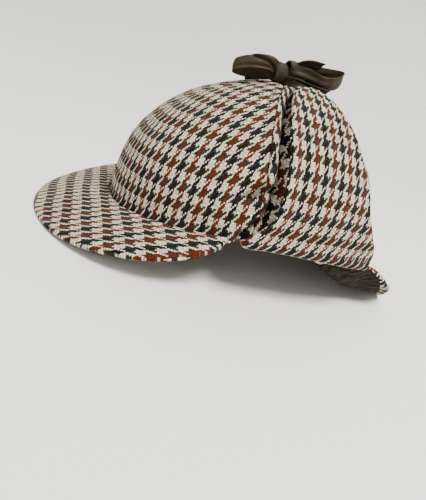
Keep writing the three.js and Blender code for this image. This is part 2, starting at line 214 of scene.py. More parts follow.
@dataclass(frozen=True)
class Tweed:
    """A check of four and four threads in a two-and-two twill, of uneven, hairy yarn.

    Attributes:
        name: the material's name.
        pitch: from thread to thread, across the warp and along it.
        band: threads in each band of one colour.
        warp: colours of the warp's bands, in order.
        weft: colours of the weft's bands, in order.
        twill: wefts after which the weave repeats.
        cream_float: how many of those a cream warp thread passes over.
        colour_float: how many of those a coloured warp thread passes over.
        stray: how far single threads wander, in threads.
        drift: how far whole bands wander, in threads.
        painted_gap_shade_level: painted shade between two threads: the lightness there, where about 1 is
            full.
        painted_crest_brightening: painted light along a thread's crest: how much lighter it is than the gap.
        painted_weft_shade_level: painted shade on the weft beside the warp: the weft's lightness.
        painted_float_end_shade: painted shade at the ends of a float: how much darker it is there.
        painted_float_shade_reach: how far that painted shade reaches from a float's end, in wefts.
        relief: height of the threads.
        hair: colour of the stray fibres.
        hair_share: how much of that colour they bring.
    """

    name: str = "tweed"
    pitch: tuple[float, float] = (0.84 * MM, 1.6 * MM)
    band: int = 4
    warp: tuple[Yarn, ...] = (Yarn.CREAM, Yarn.RUST, Yarn.CREAM, Yarn.DARK)
    weft: tuple[Yarn, ...] = (Yarn.CREAM, Yarn.TEAL, Yarn.CREAM, Yarn.OLIVE)
    twill: float = 4.0
    cream_float: float = 1.75
    colour_float: float = 2.8
    stray: float = 0.65
    drift: float = 2.2
    painted_gap_shade_level: float = 0.22
    painted_crest_brightening: float = 0.86
    painted_weft_shade_level: float = 0.95
    painted_float_end_shade: float = 0.22
    painted_float_shade_reach: float = 0.55
    relief: float = 0.7 * MM
    hair: Colour = (0.42, 0.37, 0.30)
    hair_share: float = 0.07

    def threads(self, g: Graph) -> list[bpy.types.NodeSocket]:
        """Count the threads across the warp and along it, with some wander."""
        cloth = g.node("ShaderNodeSeparateXYZ")
        g.put(cloth.inputs[0], g.cloth())
        lines = []
        for axis, (fine, coarse) in enumerate(((520.0, 34.0), (610.0, 41.0))):
            line = g.math("DIVIDE", cloth.outputs[axis], self.pitch[axis])
            line = g.math("ADD", line, g.wander(fine, 2.0, self.stray))
            lines.append(g.math("ADD", line, g.wander(coarse, 1.0, self.drift)))
        return lines

    def bands(self, g: Graph, index: bpy.types.NodeSocket, yarns: Sequence[Yarn]) -> bpy.types.NodeSocket:
        """Colour of the thread with a given index."""
        repeat = float(self.band * len(yarns))
        share = g.math("DIVIDE", g.math("ADD", g.math("FLOORED_MODULO", index, repeat), 0.5), repeat)
        starts = [k / len(yarns) for k in range(len(yarns))]
        return g.steps(share, [yarn.value for yarn in yarns], starts)

    def floats(
        self, g: Graph, warp: bpy.types.NodeSocket, weft: bpy.types.NodeSocket,
    ) -> tuple[bpy.types.NodeSocket, bpy.types.NodeSocket]:
        """Weave the threads.

        Args:
            g: the material's graph.
            warp: index of the warp thread.
            weft: place along it, in wefts.

        Returns:
            1 where the warp is on top and 0 elsewhere, and a value that rises to 1 at a float's end, which
            sets the painted shade there.
        """
        along = g.math("FLOORED_MODULO", g.math("ADD", g.math("SUBTRACT", warp, weft), 1.0), self.twill)
        pale = g.math("LESS_THAN", g.math("FLOORED_MODULO", warp, 2.0 * self.band), float(self.band))
        reach = g.math("MULTIPLY_ADD", pale, self.cream_float - self.colour_float, self.colour_float)
        over = g.math("LESS_THAN", along, reach)
        from_end = g.math("ABSOLUTE", g.math("SUBTRACT", along, reach))
        from_start = g.math("MINIMUM", along, g.math("SUBTRACT", self.twill, along))
        nearest = g.math("DIVIDE", g.math("MINIMUM", from_end, from_start), self.painted_float_shade_reach)
        return over, g.math("MAXIMUM", g.math("SUBTRACT", 1.0, nearest), 0.0)

    def crest(self, g: Graph, line: bpy.types.NodeSocket) -> bpy.types.NodeSocket:
        """Height of a round thread: 1 along its middle and 0 at its edges."""
        centred = g.math("SUBTRACT", g.math("MULTIPLY", g.math("FRACT", line), 2.0), 1.0)
        return g.math("SUBTRACT", 1.0, g.math("MULTIPLY", centred, centred))

    def shade(
        self, g: Graph, lift: bpy.types.NodeSocket, index: Sequence[bpy.types.NodeSocket],
        over: bpy.types.NodeSocket, end: bpy.types.NodeSocket,
    ) -> bpy.types.NodeSocket:
        """Painted shade and light on the yarn, from its round shape and its floats, with its random
        unevenness.

        Args:
            g: the material's graph.
            lift: height of the thread on top.
            index: indices of the warp and weft threads.
            over: 1 where the warp is on top.
            end: 1 at the end of a float.

        Returns:
            A factor for the yarn's colour: painted shade and light, times random tone.
        """
        cell = g.node("ShaderNodeCombineXYZ")
        for socket, value in zip(cell.inputs, index):
            g.put(socket, value)
        each = g.node("ShaderNodeTexWhiteNoise", noise_dimensions="2D")
        g.put(each.inputs["Vector"], cell.outputs[0])
        # Painted shade: dark gaps between threads, lighter crests, the weft darker beside the warp and darker
        # float ends. The noises below are random tone.
        rounded = g.math("POWER", g.math("MAXIMUM", lift, 0.0), 0.7)
        shade = g.math("MULTIPLY_ADD", rounded, self.painted_crest_brightening, self.painted_gap_shade_level)
        for value, slope, base in (
            (each.outputs["Value"], 0.5, 0.75),
            (g.noise(2600.0, 2.0), 0.5, 0.75),
            (g.noise(26.0, 2.0), 0.16, 0.92),
            (over, 1 - self.painted_weft_shade_level, self.painted_weft_shade_level),
            (end, -self.painted_float_end_shade, 1.0),
        ):
            shade = g.math("MULTIPLY", shade, g.math("MULTIPLY_ADD", value, slope, base))
        return shade

    def make(self) -> bpy.types.Material:
        """Build the material."""
        g = Graph(self.name)
        line = self.threads(g)
        index = [g.math("FLOOR", x) for x in line]
        over, end = self.floats(g, index[0], line[1])
        height = g.node("ShaderNodeMix", data_type="FLOAT")
        for socket, value in ((0, over), (2, self.crest(g, line[1])), (3, self.crest(g, line[0]))):
            g.put(height.inputs[socket], value)
        lift = height.outputs[0]
        colour = g.mix(over, self.bands(g, index[1], self.weft), self.bands(g, index[0], self.warp))
        shade = self.shade(g, lift, index, over, end)
        # The painted shade and the random tone multiply the yarn's colour.
        grey = g.node("ShaderNodeCombineColor")
        for socket in grey.inputs[:3]:
            g.put(socket, shade)
        colour = g.mix(1.0, colour, grey.outputs[0], "MULTIPLY")
        fibre = g.math("GREATER_THAN", g.noise(3300.0, 3.0), 0.62)
        colour = g.mix(g.math("MULTIPLY", fibre, self.hair_share), colour, self.hair)
        g.put(g.shader.inputs["Base Color"], colour)
        g.shader.inputs["Roughness"].default_value = 0.95
        g.shader.inputs["Specular IOR Level"].default_value = 0.15
        g.shader.inputs["Sheen Weight"].default_value = 0.04
        g.shader.inputs["Sheen Roughness"].default_value = 0.6
        g.bump(g.math("MULTIPLY_ADD", g.noise(2600.0, 2.0), 0.6, lift), self.relief, 0.65)
        return g.material


@dataclass(frozen=True)
class QuiltedLining:
    """Dark lining cloth sewn through in close, wavy rows, with painted shade in the grooves between the rows.
    """

    name: str = "lining"
    row: float = 2.3 * MM
    sway: float = 3.2
    light: Colour = (0.036, 0.025, 0.012)
    dark: Colour = (0.003, 0.002, 0.0015)

    def make(self) -> bpy.types.Material:
        """Build the material."""
        g = Graph(self.name)
        cloth = g.node("ShaderNodeSeparateXYZ")
        g.put(cloth.inputs[0], g.cloth())
        across = g.math("ADD", g.math("DIVIDE", cloth.outputs[0], self.row), g.wander(75.0, 2.0, self.sway))
        wave = g.math("MULTIPLY_ADD", g.math("SINE", g.math("MULTIPLY", across, math.tau)), 0.5, 0.5)
        wave = g.math("POWER", g.math("MAXIMUM", wave, 0.001), 0.8)
        fine = g.math("MULTIPLY_ADD", g.noise(1800.0, 2.0), 0.5, 0.75)
        # Painted shade: the colour runs from the dark colour in the grooves between the rows to the light one
        # on their ridges; the fine noise is random tone.
        colour = g.mix(g.math("MULTIPLY", wave, fine), self.dark, self.light)
        g.put(g.shader.inputs["Base Color"], colour)
        g.shader.inputs["Roughness"].default_value = 0.7
        g.shader.inputs["Specular IOR Level"].default_value = 0.2
        g.bump(g.math("MULTIPLY_ADD", g.noise(1500.0, 2.0), 0.2, wave), 0.0009, 0.8)
        return g.material


@dataclass(frozen=True)
class CottonRibbon:
    """Soft olive-brown ribbon with fine ribs across it, with painted shade between the ribs."""

    name: str = "ribbon"
    rib: float = 1.1 * MM
    light: Colour = (0.06, 0.045, 0.026)
    dark: Colour = (0.022, 0.015, 0.008)

    def make(self) -> bpy.types.Material:
        """Build the material."""
        g = Graph(self.name)
        cloth = g.node("ShaderNodeSeparateXYZ")
        g.put(cloth.inputs[0], g.cloth())
        along = g.math("DIVIDE", cloth.outputs[1], self.rib)
        ribs = g.math("MULTIPLY_ADD", g.math("SINE", g.math("MULTIPLY", along, math.tau)), 0.5, 0.5)
        share = g.math("MULTIPLY_ADD", g.noise(90.0, 3.0), 0.9, 0.05)
        # Painted shade: the colour is darker between the ribs; the broad noise above is random tone.
        share = g.math("MULTIPLY", share, g.math("MULTIPLY_ADD", ribs, 0.3, 0.8))
        g.put(g.shader.inputs["Base Color"], g.mix(share, self.dark, self.light))
        g.shader.inputs["Roughness"].default_value = 0.55
        g.shader.inputs["Specular IOR Level"].default_value = 0.25
        g.bump(g.math("MULTIPLY_ADD", g.noise(900.0, 2.0), 0.4, ribs), 0.00008, 0.5)
        return g.material


@dataclass
class Panel:
    """A closed panel of cloth with rounded edges, made from a grid that is laid on a surface.

    Attributes:
        name: the piece's name.
        point: its outer side, by shares from 0 to 1 across and up.
        cloth: the same places on the flat cloth, in metres.
        material: its finish.
        slot: the name of a material slot; not used.
        nodes: the CAD nodes that it replaces.
        thickness: its thickness, with the rounding of its edges.
        across: grid steps across, beside those of its edges.
        up: grid steps up, beside those of its edges.
        edge_lines: distances of the close lines along its edges, in half thicknesses.
        mirror: whether it is the right-hand copy of a left-hand panel.
        held: how the cloth is held, for a sheet; not used.
        padded: whether it is padded rather than a sheet; not used.
        deep: a point some way below the outer side, where that isn't straight in.
    """

    name: str
    point: Point
    cloth: Cloth
    material: bpy.types.Material
    slot: str
    nodes: tuple[str, ...]
    thickness: float
    across: int
    up: int
    edge_lines: tuple[float, ...] = (0.0, 0.12, 0.4, 0.75, 1.15)
    mirror: bool = False
    held: str = "stretched"
    padded: bool = False
    deep: Callable[[float, float, float], Vector] | None = None

    def lines(self, count: int, size: float) -> list[float]:
        """Places of the grid's lines from 0 to 1, close together at both edges."""
        radius = self.thickness / 2
        near = [d * radius / size for d in self.edge_lines]
        inner = [near[-1] + (1 - 2 * near[-1]) * k / count for k in range(1, count)]
        return near + inner + [1 - d for d in reversed(near)]

    def drop(self, distance: float) -> float:
        """How far the surface has rounded off at a distance from the panel's edge."""
        radius = self.thickness / 2
        if distance >= radius:
            return 0.0
        return radius - math.sqrt(max(0.0, radius * radius - (radius - distance) ** 2))

    def build(self) -> bpy.types.Object:
        """Make the panel's mesh and its object.

        Returns:
            The object, with its place in its mesh.
        """
        width = max((self.point(1, t) - self.point(0, t)).length for t in (0.2, 0.5, 0.8))
        length = sum((self.point(0.5, (k + 1) / 12) - self.point(0.5, k / 12)).length for k in range(12))
        columns = self.lines(self.across, max(width, 0.002))
        rows = self.lines(self.up, max(length, 0.002))
        spots = [[self.point(s, t) for s in columns] for t in rows]
        flip = Matrix.Diagonal((-1, 1, 1, 1)) if self.mirror else Matrix.Identity(4)
        high, wide = len(rows), len(columns)

        bm = bmesh.new()
        bmesh.ops.create_grid(bm, x_segments=wide - 1, y_segments=high - 1, size=1.0)
        place = bm.verts.layers.int.new("place")
        inner = bm.verts.layers.int.new("inner")
        for v in bm.verts:
            column = round((v.co.x + 1) / 2 * (wide - 1))
            row = round((v.co.y + 1) / 2 * (high - 1))
            v[place] = row * wide + column
        copied = bmesh.ops.duplicate(bm, geom=bm.verts[:] + bm.edges[:] + bm.faces[:])["geom"]
        for item in copied:
            if isinstance(item, bmesh.types.BMVert):
                item[inner] = 1
        bmesh.ops.reverse_faces(bm, faces=[f for f in copied if isinstance(f, bmesh.types.BMFace)])

        uv = bm.loops.layers.uv.new("cloth")
        flat = [[self.cloth(s, t) for s in columns] for t in rows]
        if (signed_area(flat) < 0) != self.mirror:
            flat = [[(-u, v) for u, v in line] for line in flat]
        for face in bm.faces:
            for loop in face.loops:
                row, column = divmod(loop.vert[place], wide)
                loop[uv].uv = flat[row][column]

        def reach(chain: list[Vector]) -> list[float]:
            total = [0.0]
            for a, b in zip(chain, chain[1:]):
                total.append(total[-1] + (b - a).length)
            return total

        along = [reach(line) for line in spots]
        upward = [reach([spots[j][i] for j in range(high)]) for i in range(wide)]
        for v in bm.verts:
            row, column = divmod(v[place], wide)
            right = spots[row][min(column + 1, wide - 1)] - spots[row][max(column - 1, 0)]
            above = spots[min(row + 1, high - 1)][column] - spots[max(row - 1, 0)][column]
            normal = right.cross(above).normalized()
            distance = min(
                along[row][column],
                along[row][-1] - along[row][column],
                upward[column][row],
                upward[column][-1] - upward[column][row],
            )
            drop = self.drop(distance)
            depth = self.thickness - drop if v[inner] else drop
            if self.deep:
                v.co = self.deep(columns[column], rows[row], depth)
            else:
                v.co = spots[row][column] - normal * depth
            v.co = flip @ v.co
        bmesh.ops.remove_doubles(bm, verts=bm.verts[:], dist=1e-6)
        bmesh.ops.recalc_face_normals(bm, faces=bm.faces[:])
        for v in bm.verts:
            v.co = to_part(v.co)
            v.co.z = max(v.co.z, FLOOR_GAP)
        piece = finished(bm, self.name, self.material, self.nodes)
        return piece


def signed_area(flat: list[list[tuple[float, float]]]) -> float:
    """Area of a grid of cloth coordinates, in square metres, below 0 where it runs the wrong way round."""
    total = 0.0
    for low, high in zip(flat, flat[1:]):
        for (a, b), (c, d) in zip(zip(low, low[1:]), zip(high, high[1:])):
            total += ((d[0] - a[0]) * (c[1] - b[1]) - (d[1] - a[1]) * (c[0] - b[0])) / 2
    return total


def finished(
    bm: bmesh.types.BMesh,
    name: str,
    material: bpy.types.Material,
    nodes: tuple[str, ...],
) -> bpy.types.Object:
    """Turn a bmesh into a smooth object that rides on the hat and stands for its CAD solids.

    Args:
        bm: the mesh, already in the part's frame.
        name: the piece's name.
        material: its finish.
        nodes: the CAD nodes that it replaces.

    Returns:
        The new object.
    """
    mesh = bpy.data.meshes.new(f"{name}_cloth")
    for face in bm.faces:
        face.smooth = True
    bm.to_mesh(mesh)
    bm.free()
    mesh.materials.append(material)
    piece = bpy.data.objects.new(f"{name}_cloth", mesh)
    bpy.context.scene.collection.objects.link(piece)
    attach(piece, "root")
    if nodes:
        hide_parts(*nodes)
    log.info("%s: %d faces", name, len(mesh.polygons))
    return piece


@dataclass(frozen=True)
class Dome:
    """The crown's smooth shape, in metres, in the frame of the upright hat."""

    half_length: float = 103 * MM
    half_width: float = 86 * MM
    height: float = 90 * MM
    lean: float = 5 * MM
    arch: float = 17 * MM
    arch_power: float = 1.37
    side_power: float = 2.87
    top_power: float = 1.39

    def room(self) -> Room:
        """The dome's own measures, as Room lists them."""
        return self.half_length, self.half_width, self.height, self.lean, self.arch

    def rim(self, turn: float) -> float:
        """Height of the crown's lower edge at a turn from the front."""
        return -self.arch * abs(math.cos(turn)) ** self.arch_power

    def at(self, climb: float, turn: float) -> Vector:
        """A point of the dome, from 0 at the lower edge to 1 at the top."""
        angle = clamp(climb) * math.pi / 2
        spread = max(0.0, math.cos(angle)) ** (2 / self.top_power)
        rise = math.sin(angle) ** (2 / self.side_power)
        base = self.rim(turn)
        return Vector((
            self.half_width * math.sin(turn) * spread,
            -self.half_length * math.cos(turn) * spread + self.lean * rise,
            base + (self.height - base) * rise,
        ))

    def normal(self, climb: float, turn: float) -> Vector:
        """The direction straight out of the dome."""
        step = 0.004
        at = clamp(climb, step, 1 - 2 * step)
        up = self.at(at + step, turn) - self.at(at - step, turn)
        sideways = self.at(at, turn + step) - self.at(at, turn - step)
        return sideways.cross(up).normalized()

    def field(self, x: float, y: float, z: float, room: Room) -> float:
        """Below 0 inside the dome grown by some room, above 0 outside it."""
        half_length, half_width, height, lean, arch = room
        base = -arch * min(1.0, abs(y) / half_length) ** self.arch_power
        rise = clamp((z - base) / (height - base), 0.0, 1.2)
        back = (y - lean * min(1.0, rise)) / half_length
        return math.hypot(x / half_width, back) ** self.top_power + rise**self.side_power - 1

    def radius(self, y: float, angle: float, room: Room) -> float:
        """Distance from the hat's long axis to the grown dome, at y and an angle above level."""
        low, high = 0.0, 2 * self.half_length
        c, s = math.cos(angle), math.sin(angle)
        for _ in range(22):
            middle = (low + high) / 2
            if self.field(middle * c, y, middle * s, room) < 0:
                low = middle
            else:
                high = middle
        return low


DOME = Dome()


# Up the flap: place, angle above level in degrees, then the front edge, the rear edge and how far the rear
# edge stands off, as shares of the flap's width.
FLAP_ROWS: tuple[tuple[float, float, float, float, float], ...] = (
    (0, 0, -0.24, 0.89, 0.12),
    (1, 0.5, -0.29, 0.89, 0.11),
    (2, 6, -0.2, 0.84, 0.10),
    (3, 12, -0.135, 0.755, 0.085),
    (4, 21, -0.125, 0.66, 0.05),
    (5, 31, -0.13, 0.62, 0.02),
    (6, 41, -0.13, 0.57, 0.0),
    (7, 51, -0.11, 0.53, 0.0),
    (8, 61, -0.08, 0.49, 0.0),
    (9, 70, -0.02, 0.45, 0.0),
    (10, 78, 0.055, 0.41, 0.0),
    (11, 83, 0.17, 0.3, 0.0),
)
FLAP_WIDTH = 90 * MM
FLAP_TIP_ANGLE = 83
# The right flap reaches this share of the left one's angle, and its tip lies this far forward.
RIGHT_REACH = 0.74
RIGHT_SKEW = 20 * MM


def flap_front(angle: float) -> float:
    """Where the left flap's front edge is, along the hat, at an angle above level in degrees."""
    for low, high in zip(FLAP_ROWS[1:], FLAP_ROWS[2:]):
        if angle <= high[1]:
            return FLAP_WIDTH * lerp(low[2], high[2], clamp((angle - low[1]) / (high[1] - low[1])))
    return FLAP_WIDTH * FLAP_ROWS[-1][2]


@dataclass(frozen=True)
class Seam:
    """A seam between two gores: its turn at the lower edge and at the top, in degrees."""

    at_rim: float
    at_top: float

    def turn(self, climb: float) -> float:
        """Turn of the seam at a climb."""
        return math.radians(lerp(self.at_rim, self.at_top, clamp(climb)))


@dataclass(frozen=True)
class Dents:
    """The crown's dents beside an ear flap.

    Attributes:
        valley: depth of the valley along the flap's front edge.
        valley_at: how far behind the flap's edge the valley is, and its half width.
        valley_fade: angles above level, in degrees, between which the valley runs out.
        lip: height of the bulge in front of the valley.
        lip_at: how far behind the flap's edge that bulge is, and its half width.
        fold: depth of the slanting fold that runs into the valley.
        fold_angle: the fold's angle above level at its front end, in degrees.
        fold_from: where that front end is along the hat.
        fold_rise: how fast the fold climbs, in degrees to a metre.
        fold_width: the fold's half width, in degrees.
        fold_start: how far behind the flap's edge the fold begins to deepen and is deep.
        fold_end: how far behind the flap's edge the fold begins to run out and is gone.
        bulge: height of the cloth above the fold.
        bulge_at: how far above the fold that cloth is, and its half width, in degrees.
        bulge_gap: how far behind the flap's edge that cloth is interrupted, and half that gap's width.
        pocket: depth of the pocket where the fold meets the valley.
        pocket_angle: the pocket's angle above level and its half width, in degrees.
        pocket_at: how far behind the flap's edge the pocket is, and its half width.
        wave: height of the crown's long waves.
        ripple: height of its short ones.
    """

    valley: float = 7.5 * MM
    valley_at: tuple[float, float] = (1.5 * MM, 2.8 * MM)
    valley_fade: tuple[float, float] = (74, 90)
    lip: float = 3.6 * MM
    lip_at: tuple[float, float] = (-4.8 * MM, 3.8 * MM)
    fold: float = 8.0 * MM
    fold_angle: float = 17.5
    fold_from: float = -26 * MM
    fold_rise: float = 0.32 / MM
    fold_width: float = 2.2
    fold_start: tuple[float, float] = (-26 * MM, -12 * MM)
    fold_end: tuple[float, float] = (2 * MM, 8 * MM)
    bulge: float = 2.4 * MM
    bulge_at: tuple[float, float] = (7, 5.0)
    bulge_gap: tuple[float, float] = (-1.5 * MM, 4 * MM)
    pocket: float = 6.0 * MM
    pocket_angle: tuple[float, float] = (14.5, 5.0)
    pocket_at: tuple[float, float] = (-2.0 * MM, 3.5 * MM)
    wave: float = 1.4 * MM
    ripple: float = 0.5 * MM


@dataclass
class Crown:
    """The six gores, each a puffed panel with its edges sunk into the seams.

    Attributes:
        tweed: their cloth.
        wall: their thickness.
        hem: how far they reach below the dome's lower edge.
        puff: how far each swells between its seams.
        top_climb: how far up the dome they reach.
        height: a gore's length from hem to top, which sets the hem's share of the grid.
        seams: the seams of one half, from the front round to the back.
        names: the gores of one half, in the same order.
        grids: grid steps across and up each of them.
        grain: where the weave starts on each of them.
        dents: the dents beside the ear flaps.
    """

    tweed: bpy.types.Material
    wall: float = 2.6 * MM
    hem: float = 4.2 * MM
    puff: float = 1.6 * MM
    top_climb: float = 0.9955
    height: float = 0.14
    seams: tuple[Seam, ...] = (Seam(0, 0), Seam(80, 63), Seam(124, 120), Seam(180, 180))
    names: tuple[str, ...] = ("crown_front", "crown_side", "crown_back")
    grids: tuple[tuple[int, int], ...] = ((84, 84), (56, 70), (44, 56))
    grain: tuple[tuple[float, float], ...] = ((3 * MM, 4 * MM), (6 * MM, 9 * MM), (2 * MM, 3 * MM))
    dents: Dents = Dents()

    def crease(self, climb: float, turn: float, side: float) -> float:
        """Depth of the dents: a valley along the flap's front edge, a slanting fold, and soft waves.

        Args:
            climb: how far up the dome.
            turn: turn from the front, in radians.
            side: 1 for the left half, -1 for the right one.

        Returns:
            The depth, in metres, below 0 where the cloth bulges.
        """
        dents = self.dents
        at = DOME.at(climb, turn)
        reach, skew = (1.0, 0.0) if side > 0 else (RIGHT_REACH, RIGHT_SKEW)
        angle = math.degrees(math.atan2(at.z, at.x)) / reach
        near = at.y - flap_front(angle) + skew * (angle / FLAP_TIP_ANGLE) ** 2
        valley = dents.valley * bell(near, *dents.valley_at) - dents.lip * bell(near, *dents.lip_at)
        valley *= 1 - smoothstep(angle, *dents.valley_fade)
        above = angle - dents.fold_angle - (at.y - dents.fold_from) * dents.fold_rise
        run = smoothstep(near, *dents.fold_start) * (1 - smoothstep(near, *dents.fold_end))
        fold = dents.fold * bell(above, 0, dents.fold_width) * run
        fold -= dents.bulge * bell(above, *dents.bulge_at) * run * (1 - bell(near, *dents.bulge_gap))
        fold += dents.pocket * bell(angle, *dents.pocket_angle) * bell(near, *dents.pocket_at)
        p = DOME.at(climb, turn * side) * 16
        wave = noise.noise(p) * dents.wave + noise.noise(p * 2.7 + Vector((5, 1, 9))) * dents.ripple
        return fold + valley - wave * math.sin(math.pi * clamp(climb)) ** 0.5

    def gore(self, k: int, side: float) -> Panel:
        """One gore: k counts from the front, and side is 1 for left and -1 for right."""
        start, end = self.seams[k], self.seams[k + 1]
        name = f"{self.names[k]}_{'left' if side > 0 else 'right'}"

        def climb_at(t: float) -> tuple[float, float]:
            run = t * self.height
            if run < self.hem:
                return 0.0, self.hem - run
            return ((run - self.hem) / (self.height - self.hem)) ** 1.4 * self.top_climb, 0.0

        def point(s: float, t: float) -> Vector:
            climb, below = climb_at(t)
            turn = lerp(start.turn(climb), end.turn(climb), s)
            swell = self.puff * math.sin(math.pi * s) * max(0.0, math.sin(math.pi * climb)) ** 0.7
            out = swell - self.crease(climb, turn, side)
            at = DOME.at(climb, turn) + DOME.normal(climb, turn) * (out - 0.1 * MM)
            at.z -= below
            return at

        steps, stride = 160, 8
        marks = [j / steps for j in range(steps + 1)]
        chain = [point(0.5, t) for t in marks]
        heights = [0.0]
        for a, b in zip(chain, chain[1:]):
            heights.append(heights[-1] + (b - a).length)
        widths = []
        for t in marks[::stride]:
            row = [point(j / 10, t) for j in range(11)]
            widths.append(sum((b - a).length for a, b in zip(row, row[1:])))
        u0, v0 = self.grain[k]

        def cloth(s: float, t: float) -> tuple[float, float]:
            x = t * steps
            i = min(int(x), steps - 1)
            v = lerp(heights[i], heights[i + 1], x - i)
            y = x / stride
            j = min(int(y), steps // stride - 1)
            return u0 + (s - 0.5) * lerp(widths[j], widths[j + 1], y - j), v0 + v

        across, up = self.grids[k]
        return Panel(name, point, cloth, self.tweed, "tweed", (name,), self.wall, across, up, mirror=side < 0)

    def build(self) -> None:
        """Make all six gores."""
        for k in range(3):
            for side in (1.0, -1.0):
                self.gore(k, side).build()


@dataclass
class Peak:
    """A stiffened crescent of cloth under the crown's lower edge.

    Attributes:
        name: the piece's name.
        tweed: its cloth.
        length: how far it reaches from the crown at its middle.
        rows: share of the half turn, then the slope below level beside the crown and at the edge, in degrees.
        end_power: how quickly the reach dies away at the ends.
        forward: how far its way out is turned from straight outward to straight ahead.
        rear: whether it is the rear one.
        half_turn: turn from its middle to its ends.
        thickness: its thickness.
        shape_power: how square its outline is.
        camber: its rise between the crown and the edge.
        gap: its clearance from the crown.
        bend: shares of the reach between which the slope changes.
        end_share: share of the half turn where its cloth ends.
        corner_at: share of the half turn where the rear peak sags most.
        corner_width: half the width of that sag, as such a share.
        corner_sag: how far it sags there.
        corner_push: how far it is pushed outward there.
        wave: height of its waves.
    """

    name: str
    tweed: bpy.types.Material
    length: float
    rows: tuple[tuple[float, float, float], ...]
    end_power: float
    forward: float
    rear: bool = False
    half_turn: float = math.radians(73.4)
    thickness: float = 4.2 * MM
    shape_power: float = 2.33
    camber: float = 2.2 * MM
    gap: float = 0.35 * MM
    bend: tuple[float, float] = (0.34, 0.66)
    end_share: float = 0.985
    corner_at: float = 0.55
    corner_width: float = 0.22
    corner_sag: float = 4.8 * MM
    corner_push: float = 3.5 * MM
    wave: float = 1.1 * MM

    def reach(self, share: float) -> float:
        """How far the peak reaches at a share of its half turn."""
        return self.length * max(0.0, 1 - abs(share) ** self.shape_power) ** self.end_power

    def slope(self, share: float, out: float) -> float:
        """Slope below level at a share of the half turn and a share of the reach."""
        values = [math.radians(self.eased(abs(share), column)) for column in (1, 2)]
        return lerp(values[0], values[1], smoothstep(out, *self.bend))

    def eased(self, share: float, column: int) -> float:
        """A value of the peak's table, eased between its rows."""
        for low, high in zip(self.rows, self.rows[1:]):
            if share <= high[0]:
                return lerp(low[column], high[column], smoothstep(share, low[0], high[0]))
        return self.rows[-1][column]

    def ways(self, share: float) -> tuple[float, Vector, Vector]:
        """Turn, outward direction and lie of the peak at a share of its half turn."""
        turn = share * self.half_turn
        outward = Vector((math.sin(turn) / DOME.half_width, -math.cos(turn) / DOME.half_length)).normalized()
        way = outward * (1 - self.forward) - Vector((0, self.forward))
        return turn, outward, way.normalized()

    def top(self, share: float, out: float, below: float = 0.0) -> Vector:
        """A point of the peak's upper side, or some way below it."""
        turn, outward, way = self.ways(share)
        reach = self.reach(share) * out
        steps = 24
        along = down = 0.0
        for k in range(steps):
            slope = self.slope(share, (k + 0.5) / steps * out)
            along += reach / steps * math.cos(slope)
            down += reach / steps * math.sin(slope)
        camber = self.camber * math.sin(math.pi * out) * math.sqrt(max(0.0, 1 - share * share))
        slope = self.slope(share, out)
        lean = math.sin(slope) * min(1.0, out / 0.25)
        along -= min(lean * below, 0.8 * along)
        x = DOME.half_width * math.sin(turn) + outward.x * self.gap + way.x * along
        y = -DOME.half_length * math.cos(turn) + outward.y * self.gap + way.y * along
        z = DOME.rim(turn) - down + camber - below * lerp(1, math.cos(slope), abs(lean))
        wave = noise.noise(Vector((x * 22, y * 22, 3.0 + self.rear))) * self.wave
        z += wave * math.sin(math.pi * min(1, out * 0.9))
        if self.rear:
            corner = bell(abs(share), self.corner_at, self.corner_width)
            z -= self.corner_sag * corner * smoothstep(out, 0.15, 0.5) * (1 - 0.7 * smoothstep(out, 0.7, 1))
            push = self.corner_push * corner * smoothstep(out, 0.4, 1)
            x += way.x * push
            y += way.y * push
        return Vector((-x, -y, z)) if self.rear else Vector((x, y, z))

    def flat(self, share: float, out: float) -> tuple[float, float]:
        """Where that point lies on the flat cloth: the warp runs from front to back."""
        turn, _, way = self.ways(share)
        reach = self.reach(share) * out
        x = DOME.half_width * math.sin(turn) + way.x * reach
        y = -DOME.half_length * math.cos(turn) + way.y * reach
        return (x + 5 * MM, y + 2 * MM)

    def build(self) -> bpy.types.Object:
        """Make the peak, tweed on both sides."""
        def share(s: float) -> float:
            return lerp(-self.end_share, self.end_share, s)

        panel = Panel(
            self.name,
            lambda s, t: self.top(share(s), 1 - t),
            lambda s, t: self.flat(share(s), 1 - t),
            self.tweed, "tweed", (self.name,), self.thickness, 110, 30, padded=True,
            deep=lambda s, t, depth: self.top(share(s), 1 - t, depth),
        )
        return panel.build()

    def lining(self, cloth: bpy.types.Material) -> bpy.types.Object:
        """Make the lining under the peak, inside the edge that is turned over it."""
        ends, gap = 0.95, 0.25 * MM

        def spot(s: float, t: float) -> tuple[float, float]:
            share = lerp(-ends, ends, s)
            inset = lerp(7 * MM, 2.2 * MM, smoothstep(abs(share), 0.45, 0.65))
            edge = 1 - inset / self.reach(share)
            inner = lerp(0.2, 0.44, smoothstep(abs(share), 0.35, 0.6))
            return share, lerp(edge, inner, t)

        panel = Panel(
            f"{self.name}_lining",
            lambda s, t: self.top(*spot(s, t), self.thickness + gap),
            lambda s, t: self.flat(*spot(s, t)),
            cloth, "lining", (f"{self.name}_lining",), 0.8 * MM, 100, 24, held="laid",
            deep=lambda s, t, depth: self.top(*spot(s, t), self.thickness + gap + depth),
        )
        return panel.build()


